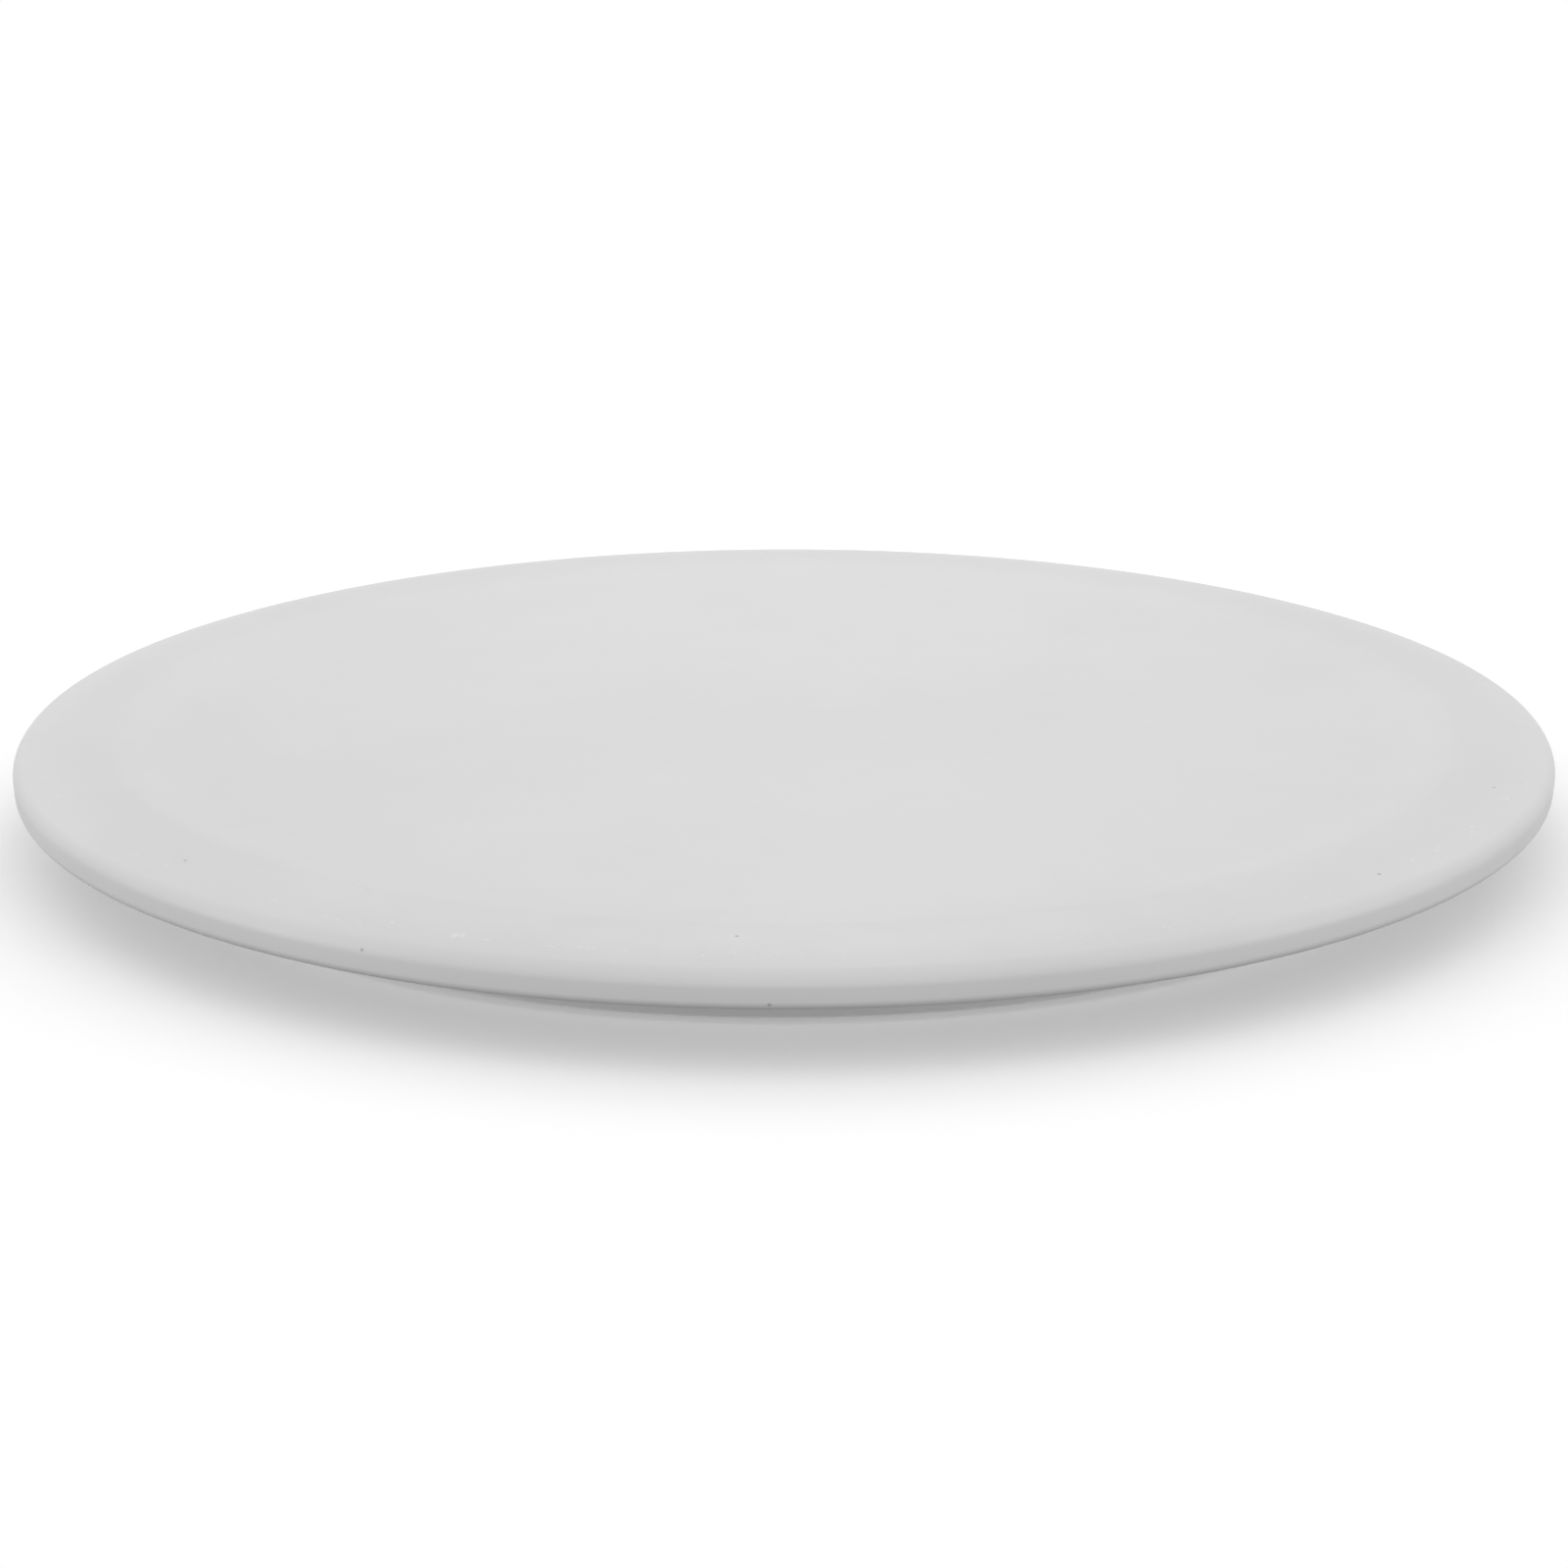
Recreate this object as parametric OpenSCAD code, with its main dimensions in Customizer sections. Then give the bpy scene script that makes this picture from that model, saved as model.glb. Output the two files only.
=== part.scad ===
// Turntable for a dining table: a dished, round platter that spins on a ring of
// steel balls over a wide, low base, with a pivot bolt that keeps the two together.
// +Z is up, the turning axis is Z, and the feet stand on the plane Z = 0.

/* [Platter] */
// Diameter over the edge
platter_d = 457; // [430:1:490]
// Height of the edge, from the rim down to the lip
edge_h = 15; // [13.5:0.5:17.5]
// Width of the raised rim, from the dish out to the edge
rim_w = 27; // [25:1:34]
// Depth of the dish below the rim
dish_depth = 3; // [2:0.1:3.6]
// Width of the slope between the dish floor and the rim
cove_w = 30; // [22:1:36]
// Radius that softens the inner edge of the rim
rim_lip_r = 15; // [8:1:24]
// Radius of the soft crown on the outer part of the rim
crown_r = 60; // [48:1:68]
// Slope at which the crown runs into the corner, in degrees
crown_slope = 20; // [14:1:21]
// Radius of the corner between the crown and the skirt
corner_r = 5; // [4:0.1:6]
// Angle at which the skirt draws in below the corner, in degrees
skirt_slope = 5; // [2:0.5:7]
// Radius on the lip's outer edge
lip_r = 3; // [2.8:0.1:3.4]
// Thickness of the deck and skirt
deck_t = 3; // [2.6:0.1:3.6]

/* [Platter ribs] */
// Thickness of a rib
platter_rib_t = 1.6; // [1.2:0.1:2.2]
// Depth of the ribs below the deck
platter_rib_h = 7.6; // [5:0.1:9]
// Number of spokes between the hub and the bearing
platter_inner_spokes = 16; // [8:8:24]
// Number of spokes between the bearing and the skirt
platter_outer_spokes = 32; // [16:8:40]

/* [Base] */
// Diameter at the foot of the base
base_d = 366; // [350:1:400]
// Height of the base shell
base_h = 13.8; // [13:0.1:16]
// Thickness of the base plate and its wall
base_t = 3; // [2.4:0.1:3.4]
// Inward draft of the base wall, foot to top
base_draft = 1.2; // [0.5:0.1:2.5]
// Radius of the base's upper corner
base_corner_r = 4.5; // [3.5:0.1:6]
// Thickness of a rib
base_rib_t = 1.8; // [1.4:0.1:2.4]
// Height that the ribs stay above the foot of the wall
base_rib_rise = 3.5; // [2.5:0.1:5]
// Number of spokes from the hub out to the first ring
base_inner_spokes = 12; // [8:4:16]
// Number of spokes beyond the first ring
base_spokes = 24; // [16:8:32]
// Number of gussets round the hub
gusset_n = 6; // [3:1:8]
// Height of the gussets
gusset_h = 2.6; // [1.5:0.1:3]
// Reach of the gussets along the plate
gusset_l = 12; // [8:1:16]

/* [Bearing] */
// Diameter of the circle on which the balls run
race_d = 240; // [220:1:260]
// Diameter of a ball
ball_d = 6.35; // [5.5:0.05:7]
// Number of balls
ball_n = 32; // [12:1:36]
// Sheet thickness of the pressed races
race_t = 1.2; // [0.9:0.1:1.5]
// Gap between the two races' flanges
race_gap = 3.2; // [2.8:0.1:4]
// Flange width on the side that faces the other race
race_short = 8; // [7:0.1:9]
// Flange width on the side that takes the screws
race_long = 20; // [18:0.5:22]
// Height of the race's seat above the base plate
base_seat_h = 2.5; // [2.2:0.1:3.2]
// Height of the race's seat below the deck
platter_seat_h = 3.8; // [3.4:0.1:4.6]
// Thickness of the seats' ring walls
seat_t = 3; // [2.4:0.1:3.6]
// Running space between a ball and its groove
ball_clear = 0.2; // [0.15:0.01:0.3]
// Space between a ball and its pocket in the cage
pocket_clear = 0.25; // [0.15:0.01:0.4]
// Width of the ball cage
cage_w = 13; // [11:0.1:14]
// Space between the cage and each race
cage_clear = 0.5; // [0.3:0.05:0.7]

/* [Race screws] */
// Number of screws in each race
race_screw_n = 8; // [4:4:8]
// Diameter of the screw's shank
race_screw_d = 3.5; // [3:0.1:4]
// Length under the head
race_screw_l = 6; // [5:0.1:6.4]
// Diameter of the head
race_screw_head_d = 7; // [6:0.1:8]
// Height of the head
race_screw_head_h = 2.2; // [1.8:0.1:2.6]
// Diameter of the boss that the screw bites in
race_boss_d = 9; // [8:0.1:10]
// Length of the bosses below the base plate
race_boss_l = 2; // [1:0.1:4]

/* [Pivot] */
// Diameter of the pivot bolt's shoulder
pivot_d = 10; // [8:0.1:12]
// Diameter of the bolt's threaded end
thread_d = 8; // [6:0.1:8]
// Length of the threaded end
thread_l = 6.4; // [5:0.1:6.6]
// Diameter of the bolt's head
bolt_head_d = 18; // [16:0.1:20]
// Height of the bolt's head
bolt_head_h = 3.4; // [3:0.1:3.6]
// Width across the flats of the key socket
key_w = 5; // [4:0.1:6]
// Depth of the key socket
key_depth = 2.2; // [1.6:0.1:2.4]
// Diameter of the thrust washer
washer_d = 22; // [21:0.1:24]
// Thickness of the thrust washer
washer_t = 1.2; // [0.8:0.1:1.4]
// Thickness of the disc spring
spring_t = 0.6; // [0.5:0.05:0.7]
// Cone height of the disc spring
spring_rise = 0.5; // [0.3:0.05:0.6]
// Wall of the pivot bush
bush_t = 2; // [1.5:0.1:2.5]
// Thickness of the bush's flange
bush_flange_t = 1.2; // [1:0.1:1.6]
// Diameter of the bush's flange
bush_flange_d = 18; // [16:0.1:19]
// Wall of the hub round the bush
hub_t = 4; // [3:0.1:5]
// Diameter of the threaded insert
insert_d = 13; // [12:0.1:14]
// Wall of the platter's boss round the insert
boss_t = 3.5; // [3:0.1:4.5]
// Running space round the bolt's shoulder
pivot_clear = 0.06; // [0.03:0.01:0.09]

/* [Hub cap] */
// Inside diameter of the recess under the hub
recess_d = 36; // [34:0.5:40]
// Thickness of the cap's disc
cap_t = 1.2; // [1:0.1:1.3]
// Length of the cap's fingers
cap_finger_l = 6; // [4:0.1:8]

/* [Feet] */
// Distance of a foot's centre from the edge of the base
foot_inset = 20; // [16:1:28]
// Height at which the base wall stands above the table
foot_proud = 1.5; // [1:0.1:2.2]
// Height of a foot
foot_h = 4.5; // [4:0.1:5]
// Diameter of a foot where it meets the base
foot_d = 20; // [18:0.1:22]
// Diameter of a foot at the table
foot_tip_d = 17; // [15:0.1:18]
// Diameter of the foot screw's shank
foot_screw_d = 3.5; // [3:0.1:4]
// Length of the foot screw under its head
foot_screw_l = 7; // [6:0.1:8]
// Diameter of the foot screw's head
foot_screw_head_d = 7; // [6:0.1:7.4]
// Height of the foot screw's head
foot_screw_head_h = 1.5; // [1.2:0.1:1.6]
// Height of that head above the table
foot_head_z = 0.7; // [0.5:0.1:1]
// Width of the base's boss beyond the foot
foot_boss_t = 1; // [0.5:0.1:2]
// Diameter of the steel washer in a foot
foot_washer_d = 9.6; // [9:0.1:10.4]
// Thickness of that washer
foot_washer_t = 0.8; // [0.6:0.1:1]

/* [Hidden] */
$fn = 96;
// Finer steps for the long, flat arcs of the platter's top
arc_fn = 360;
// Small space between parts that are fastened to each other
fit = 0.05;
// Space between flat faces that turn against each other
thrust_gap = 0.3;
// Length by which a cut runs past the face it opens
past = 1;
// A length beyond every outline
far = 400;
// Amount by which an arc stands proud of what it is tangent to, and the angle by which
// it runs on, in degrees, so that the two cross instead of grazing each other
proud = 0.002;
run_on = 5;
// Outward draft of the skirt's inside, top to lip
core_draft = 0.1;
// Spare depth of a hole past its screw's or bolt's tip
hole_spare = 0.3;
// Space between a screw's shank and a hole that it passes through
shank_clear = 0.2;

// Heights, from the table up
base_foot_z = foot_proud;
base_top = foot_proud + base_h;
base_under = base_top - base_t;
base_seat_z = base_top + base_seat_h;
ball_z = base_seat_z + race_t + race_gap / 2;
platter_seat_z = ball_z + race_gap / 2 + race_t;
deck_under = platter_seat_z + platter_seat_h;
dish_z = deck_under + deck_t;
rim_z = dish_z + dish_depth;
lip_z = rim_z - edge_h;
platter_rib_z = deck_under - platter_rib_h;
base_rib_z = base_foot_z + base_rib_rise;

// The platter's section: radii, arc centres and slopes
platter_r = platter_d / 2;
rim_in_r = platter_r - rim_w;
cove_in_r = rim_in_r - cove_w;
cove_slope = 2 * atan(dish_depth / cove_w);
cove_r = cove_w / sin(cove_slope) - rim_lip_r;
cove_c = [cove_in_r, dish_z + cove_r];
rim_lip_c = [rim_in_r, rim_z - rim_lip_r];
corner_c = [platter_r - corner_r,
    rim_z - crown_r + (crown_r - corner_r) * cos(crown_slope)];
crown_c = [corner_c[0] - (crown_r - corner_r) * sin(crown_slope), rim_z - crown_r];

// The base's section
base_r = base_d / 2;
base_top_r = base_r - base_draft;
base_corner_c = [base_top_r - base_corner_r, base_top - base_corner_r];

// The bearing
race_r = race_d / 2;
ball_r = ball_d / 2;
groove_r = ball_r + ball_clear;
groove_back_r = groove_r + race_t;
groove_half_w = sqrt(groove_back_r * groove_back_r - pow(race_gap / 2 + race_t, 2));
race_screw_out = (race_short + race_long) / 2;
race_hole_depth = race_screw_l - race_t + hole_spare;
bearing_half_w = race_long + seat_t + past;
cage_t = race_gap - 2 * cage_clear;

// The pivot, from the cap up
recess_r = recess_d / 2;
recess_wall_r = recess_r + base_t;
cap_z = base_foot_z + thrust_gap;
cap_top_z = cap_z + cap_t;
finger_top_z = cap_top_z + cap_finger_l;
bead_h = 0.6;
bead_z = finger_top_z - 2 * bead_h;
bolt_head_z = cap_top_z + thrust_gap;
spring_z = bolt_head_z + bolt_head_h;
washer_z = spring_z + spring_t + spring_rise;
hub_foot_z = washer_z + washer_t + thrust_gap;
insert_l = thread_l + 2 * hole_spare;
boss_z = deck_under - insert_l;
hub_top_z = boss_z - thrust_gap - bush_flange_t;
pivot_r = pivot_d / 2;
bush_r = pivot_r + pivot_clear + bush_t;
hub_r = bush_r + hub_t;
insert_r = insert_d / 2;
boss_r = insert_r + boss_t;

// The feet, one for each foot node
foot_n = 8;
foot_circle_r = base_r - foot_inset;
foot_r = foot_d / 2;
foot_boss_r = foot_r + foot_boss_t;
foot_washer_z = foot_head_z + foot_screw_head_h;
foot_recess_r = foot_washer_d / 2 + fit;

// ---- Plane shapes ----

function on_arc(centre, r, angle) = centre + r * [cos(angle), sin(angle)];

module ring2d(inner, outer) {
    difference() {
        circle(outer);
        circle(inner);
    }
}

// Slice of a disc, from one angle to the next
module slice2d(centre, r, from, to) {
    reach = 2 * r;
    translate(centre) intersection() {
        circle(r, $fn = arc_fn);
        polygon([[0, 0], reach * [cos(from), sin(from)], reach * [cos(to), sin(to)]]);
    }
}

// Spokes of one width between two radii
module spokes2d(count, inner, outer, width) {
    for (i = [0 : count - 1])
        rotate(i * 360 / count) translate([inner, -width / 2])
            square([outer - inner, width]);
}

// Copies spread evenly over a circle
module spread(count, circle_r) {
    for (i = [0 : count - 1])
        rotate(i * 360 / count) translate([circle_r, 0, 0]) children();
}

module washer(inner, outer, z, thickness) {
    translate([0, 0, z]) linear_extrude(thickness) ring2d(inner, outer);
}

// ---- Screws ----

// Pan-head screw that points down, with the underside of its head at z = 0
module pan_screw(shank_d, shank_l, head_d, head_h) {
    tip_h = shank_d / 2;
    rise = 0.7 * head_h;
    dome_r = (pow(head_d / 2, 2) + rise * rise) / (2 * rise);
    slot_w = 0.16 * head_d;
    slot_l = 0.6 * head_d;
    difference() {
        union() {
            rotate_extrude() intersection() {
                square([head_d / 2, head_h]);
                translate([0, head_h - dome_r]) circle(dome_r);
            }
            translate([0, 0, tip_h - shank_l]) cylinder(d = shank_d, h = shank_l - tip_h + fit);
            translate([0, 0, -shank_l]) cylinder(d1 = shank_d / 4, d2 = shank_d, h = tip_h);
        }
        for (turn = [0, 90])
            rotate(turn) translate([-slot_l / 2, -slot_w / 2, head_h / 2])
                cube([slot_l, slot_w, head_h]);
    }
}

// ---- Platter shell ----

// Air over the dish, or with a wall's thickness the same outline at its underside
module dish_air2d(wall) {
    joint = on_arc(cove_c, cove_r + wall, cove_slope - 90);
    difference() {
        union() {
            polygon([
                [-past, dish_z - wall], [cove_in_r, dish_z - wall], joint,
                [rim_in_r, rim_z - wall], [rim_in_r, rim_z + past], [-past, rim_z + past]
            ]);
            intersection() {
                slice2d(cove_c, cove_r + wall + proud, -90 - run_on, cove_slope - 90 + run_on);
                square([far, rim_z]);
            }
        }
        slice2d(rim_lip_c, rim_lip_r - wall + proud, 90 - run_on, 90 + cove_slope + run_on);
    }
}

// All that lies inside the crown, the corner and the skirt, less a wall's thickness
module edge_body2d(wall) {
    outside = wall == 0;
    draw = outside ? -skirt_slope : 0;
    skirt_top = on_arc(corner_c, corner_r - wall, draw);
    skirt_run = skirt_top[1] - lip_z + past;
    skirt_foot_r = skirt_top[0] + (outside ? -skirt_run * tan(skirt_slope) : core_draft);
    intersection() {
        union() {
            polygon([
                [-past, lip_z - past], [skirt_foot_r, lip_z - past], skirt_top,
                on_arc(corner_c, corner_r - wall, 90 - crown_slope),
                [crown_c[0], rim_z - wall], [-past, rim_z - wall]
            ]);
            slice2d(corner_c, corner_r - wall + proud, draw - run_on, 90 - crown_slope + run_on);
            slice2d(crown_c, crown_r - wall, 90 - crown_slope, 90);
        }
        translate([0, lip_z - past]) square(far);
    }
}

module platter_outline2d() {
    skirt_top = on_arc(corner_c, corner_r, -skirt_slope);
    lip_edge_r = skirt_top[0] - (skirt_top[1] - lip_z) * tan(skirt_slope);
    // The lip's round is tangent to the lip and to the sloping skirt
    lip_c = [lip_edge_r - lip_r * tan(45 - skirt_slope / 2), lip_z + lip_r];
    difference() {
        edge_body2d(0);
        dish_air2d(0);
        translate([0, lip_z - 2 * past]) square([far, 2 * past]);
        difference() {
            polygon([lip_c, lip_c - [0, 2 * lip_r], lip_c + [2 * lip_r, -2 * lip_r],
                lip_c + 2 * lip_r * [cos(skirt_slope), -sin(skirt_slope)]]);
            translate(lip_c) circle(lip_r + proud);
        }
    }
}

module platter_section2d() {
    difference() {
        platter_outline2d();
        difference() {
            edge_body2d(deck_t);
            dish_air2d(deck_t);
        }
    }
}

// Rings and spokes under the deck, in plan; the bearing's own zone has its seat instead
module platter_ribs2d() {
    inner_r = race_r - bearing_half_w;
    outer_r = race_r + bearing_half_w;
    skirt_in_r = platter_r - deck_t / 2;
    half_t = platter_rib_t / 2;
    mid_rings = [(boss_r + inner_r) / 2, (outer_r + skirt_in_r) / 2];
    circle(boss_r);
    for (r = mid_rings) ring2d(r - half_t, r + half_t);
    ring2d(inner_r - platter_rib_t, inner_r);
    ring2d(outer_r, outer_r + platter_rib_t);
    spokes2d(platter_inner_spokes, boss_r - half_t, inner_r - half_t, platter_rib_t);
    spokes2d(platter_outer_spokes, outer_r + half_t, skirt_in_r + half_t, platter_rib_t);
}

// Seat of a race, in plan: three rings, bosses and short spokes. out is 1 where the
// screws lie outside the balls, and -1 where they lie inside.
module race_seat2d(out, spokes, spoke_t) {
    groove_edge = groove_half_w + 0.5;
    rings = [[-race_short, -race_short + seat_t], [groove_edge, groove_edge + seat_t],
        [race_long - seat_t, race_long]];
    for (ring = rings) {
        ends = [race_r + out * ring[0], race_r + out * ring[1]];
        ring2d(min(ends), max(ends));
    }
    spread(race_screw_n, race_r + out * race_screw_out) circle(d = race_boss_d);
    span = [race_r + out * (groove_edge + seat_t / 2), race_r + out * (race_long - seat_t / 2)];
    spokes2d(spokes, min(span), max(span), spoke_t);
}

module platter_shell() {
    rib_top = dish_z - deck_t / 2;
    relief_r = hub_r + 3;
    color("gainsboro") difference() {
        union() {
            rotate_extrude() platter_section2d();
            intersection() {
                translate([0, 0, platter_rib_z]) linear_extrude(rim_z - platter_rib_z)
                    platter_ribs2d();
                rotate_extrude() difference() {
                    translate([-deck_t / 2, -deck_t / 2]) intersection() {
                        platter_outline2d();
                        translate([deck_t / 2, 0]) square(far);
                    }
                    translate([0, boss_z - far]) square([relief_r, far]);
                }
            }
            translate([0, 0, platter_seat_z]) linear_extrude(rib_top - platter_seat_z)
                race_seat2d(1, platter_outer_spokes, platter_rib_t);
        }
        translate([0, 0, boss_z - past]) cylinder(r = insert_r + fit, h = insert_l + past);
        spread(race_screw_n, race_r + race_screw_out)
            translate([0, 0, platter_seat_z - past])
                cylinder(d = race_screw_d, h = race_hole_depth + past);
    }
}

// ---- Base shell ----

module base_outline2d() {
    union() {
        polygon([
            [0, base_foot_z], [base_r, base_foot_z], [base_top_r, base_corner_c[1]],
            [base_corner_c[0], base_top], [0, base_top]
        ]);
        slice2d(base_corner_c, base_corner_r, 0, 90);
    }
}

module base_section2d() {
    inner_c = base_corner_c;
    inner_r = base_corner_r - base_t;
    difference() {
        base_outline2d();
        union() {
            polygon([
                [0, base_foot_z - past], [base_r - base_t + core_draft, base_foot_z - past],
                [inner_c[0] + inner_r, inner_c[1]], [inner_c[0], base_under], [0, base_under]
            ]);
            slice2d(inner_c, inner_r, 0, 90);
        }
    }
}

// Rings and spokes under the base plate, in plan
module base_ribs2d() {
    wall_in_r = base_top_r - base_t / 2;
    half_t = base_rib_t / 2;
    bay = (wall_in_r - recess_wall_r) / 4;
    for (i = [1 : 3])
        ring2d(recess_wall_r + i * bay - half_t, recess_wall_r + i * bay + half_t);
    spokes2d(base_inner_spokes, recess_wall_r - half_t, recess_wall_r + bay, base_rib_t);
    spokes2d(base_spokes, recess_wall_r + bay, wall_in_r, base_rib_t);
}

// One of the gussets that brace the hub on top of the plate
module hub_gusset() {
    rotate([90, 0, 0]) translate([0, 0, -base_rib_t / 2]) linear_extrude(base_rib_t)
        polygon([
            [hub_r - past, base_top - past], [hub_r + gusset_l, base_top - past],
            [hub_r + gusset_l, base_top], [hub_r, base_top + gusset_h],
            [hub_r - past, base_top + gusset_h]
        ]);
}

module base_shell() {
    mid_z = base_top - base_t / 2;
    color("gainsboro") difference() {
        union() {
            rotate_extrude() base_section2d();
            translate([0, 0, base_rib_z]) linear_extrude(mid_z - base_rib_z) base_ribs2d();
            translate([0, 0, cap_top_z]) linear_extrude(mid_z - cap_top_z)
                ring2d(recess_r, recess_wall_r);
            translate([0, 0, hub_foot_z]) cylinder(r = hub_r, h = hub_top_z - hub_foot_z);
            for (i = [0 : gusset_n - 1]) rotate(i * 360 / gusset_n) hub_gusset();
            translate([0, 0, mid_z]) linear_extrude(base_seat_z - mid_z)
                race_seat2d(-1, base_spokes, base_rib_t);
            spread(race_screw_n, race_r - race_screw_out)
                translate([0, 0, base_under - race_boss_l])
                    cylinder(d = race_boss_d, h = race_boss_l + base_t / 2);
            spread(foot_n, foot_circle_r)
                translate([0, 0, foot_h]) cylinder(r = foot_boss_r, h = mid_z - foot_h);
        }
        translate([0, 0, hub_foot_z - past])
            cylinder(r = bush_r + fit, h = hub_top_z - hub_foot_z + 2 * past);
        translate([0, 0, bead_z - bead_h]) linear_extrude(2 * bead_h)
            ring2d(recess_r - past, recess_r + bead_h);
        spread(race_screw_n, race_r - race_screw_out)
            translate([0, 0, base_seat_z - race_hole_depth])
                cylinder(d = race_screw_d, h = race_hole_depth + past);
        spread(foot_n, foot_circle_r) translate([0, 0, foot_h - past])
            cylinder(d = foot_screw_d,
                h = foot_washer_z + foot_screw_l - foot_h + hole_spare + past);
    }
}

// ---- Bearing ----

// Pressed race in section, its balls' centre at the origin and its back downwards
module race2d() {
    back = race_gap / 2 + race_t;
    difference() {
        union() {
            translate([-race_long, -back]) square([race_long + race_short, race_t]);
            intersection() {
                circle(groove_back_r);
                translate([-far / 2, -far - race_gap / 2]) square(far);
            }
        }
        circle(groove_r);
    }
}

// out is -1 for the race with its screws inside the balls, and 1 for the other
module race(out) {
    hole_z = ball_z + out * race_gap / 2;
    difference() {
        rotate_extrude() translate([race_r, ball_z]) rotate(out > 0 ? 180 : 0) race2d();
        spread(race_screw_n, race_r + out * race_screw_out)
            translate([0, 0, hole_z - 2 * race_t])
                cylinder(d = race_screw_d + shank_clear, h = 4 * race_t);
    }
}

module base_race() {
    color("silver") race(-1);
}

module platter_race() {
    color("silver") race(1);
}

module base_race_screws() {
    color("silver") spread(race_screw_n, race_r - race_screw_out)
        translate([0, 0, ball_z - race_gap / 2])
            pan_screw(race_screw_d - 2 * fit, race_screw_l, race_screw_head_d,
                race_screw_head_h);
}

module platter_race_screws() {
    color("silver") spread(race_screw_n, race_r + race_screw_out)
        translate([0, 0, ball_z + race_gap / 2]) mirror([0, 0, 1])
            pan_screw(race_screw_d - 2 * fit, race_screw_l, race_screw_head_d,
                race_screw_head_h);
}

module ball_cage() {
    relief_r = ball_r * 0.8;
    color("ivory") translate([0, 0, ball_z - cage_t / 2]) difference() {
        linear_extrude(cage_t) ring2d(race_r - cage_w / 2, race_r + cage_w / 2);
        translate([0, 0, -past]) {
            spread(ball_n, race_r) cylinder(r = ball_r + pocket_clear, h = cage_t + 2 * past);
            rotate(180 / ball_n)
                spread(ball_n, race_r) cylinder(r = relief_r, h = cage_t + 2 * past);
        }
    }
}

module bearing_balls() {
    color("lightsteelblue") spread(ball_n, race_r) translate([0, 0, ball_z]) sphere(ball_r);
}

// ---- Pivot ----

module pivot_insert() {
    groove = 0.8;
    bore_r = thread_d / 2 + fit;
    third = insert_l / 3;
    color("goldenrod") translate([0, 0, boss_z]) difference() {
        cylinder(r = insert_r, h = insert_l);
        translate([0, 0, -past]) cylinder(r = bore_r, h = insert_l + 2 * past);
        for (z = [third, 2 * third])
            translate([0, 0, z - groove / 2]) linear_extrude(groove)
                ring2d(insert_r - groove, insert_r + past);
    }
}

module pivot_bolt() {
    thread_r = thread_d / 2;
    chamfer = 0.8;
    head_r = bolt_head_d / 2;
    color("silver") difference() {
        rotate_extrude() polygon([
            [0, bolt_head_z], [head_r - chamfer, bolt_head_z],
            [head_r, bolt_head_z + chamfer], [head_r, spring_z], [pivot_r, spring_z],
            [pivot_r, boss_z], [thread_r, boss_z], [thread_r, boss_z + thread_l - chamfer],
            [thread_r - chamfer, boss_z + thread_l], [0, boss_z + thread_l]
        ]);
        translate([0, 0, bolt_head_z - past])
            cylinder(d = key_w / cos(30), h = key_depth + past, $fn = 6);
    }
}

module thrust_washer() {
    color("silver") washer(pivot_r + shank_clear, washer_d / 2, washer_z, washer_t);
}

module disc_spring() {
    inner = pivot_r + shank_clear;
    outer = bolt_head_d / 2;
    color("dimgray") rotate_extrude() polygon([
        [outer, spring_z], [outer, spring_z + spring_t],
        [inner, spring_z + spring_rise + spring_t], [inner, spring_z + spring_rise]
    ]);
}

module hub_bush() {
    inner = pivot_r + pivot_clear;
    color("ivory") rotate_extrude() polygon([
        [inner, hub_foot_z], [bush_r, hub_foot_z], [bush_r, hub_top_z],
        [bush_flange_d / 2, hub_top_z], [bush_flange_d / 2, hub_top_z + bush_flange_t],
        [inner, hub_top_z + bush_flange_t]
    ]);
}

module hub_cap() {
    finger_t = 1.2;
    finger_r = recess_r - 2 * fit;
    bead_r = recess_r + bead_h - 4 * fit;
    bead_run = bead_r - finger_r;
    slot_w = 8;
    rim_chamfer = 0.6;
    color("gainsboro") difference() {
        union() {
            rotate_extrude() polygon([
                [0, cap_z], [recess_wall_r - rim_chamfer, cap_z],
                [recess_wall_r, cap_z + rim_chamfer], [recess_wall_r, cap_top_z],
                [0, cap_top_z]
            ]);
            rotate_extrude() polygon([
                [finger_r - finger_t, cap_top_z - fit], [finger_r, cap_top_z - fit],
                [finger_r, bead_z - bead_run], [bead_r, bead_z],
                [finger_r, bead_z + bead_run], [finger_r - rim_chamfer, finger_top_z],
                [finger_r - finger_t, finger_top_z]
            ]);
        }
        for (i = [0 : 2])
            rotate(i * 60) translate([-far / 2, -slot_w / 2, cap_top_z])
                cube([far, slot_w, cap_finger_l + past]);
    }
}

// ---- Feet ----

module foot() {
    edge = 1;
    tip_r = foot_tip_d / 2;
    color("dimgray") difference() {
        rotate_extrude() polygon([
            [0, 0], [tip_r - edge, 0], [tip_r - edge * (1 - sin(45)), edge * (1 - cos(45))],
            [tip_r, edge], [foot_r, foot_h], [0, foot_h]
        ]);
        translate([0, 0, -past])
            cylinder(r = foot_recess_r, h = past + foot_washer_z + foot_washer_t);
        translate([0, 0, foot_head_z]) cylinder(d = foot_screw_d + shank_clear, h = foot_h);
    }
}

module foot_at(i) {
    rotate(i * 360 / foot_n) translate([foot_circle_r, 0, 0]) foot();
}

module foot_1() { foot_at(0); }
module foot_2() { foot_at(1); }
module foot_3() { foot_at(2); }
module foot_4() { foot_at(3); }
module foot_5() { foot_at(4); }
module foot_6() { foot_at(5); }
module foot_7() { foot_at(6); }
module foot_8() { foot_at(7); }

module foot_washers() {
    color("silver") spread(foot_n, foot_circle_r)
        washer(foot_screw_d / 2 + fit, foot_washer_d / 2, foot_washer_z, foot_washer_t);
}

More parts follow.
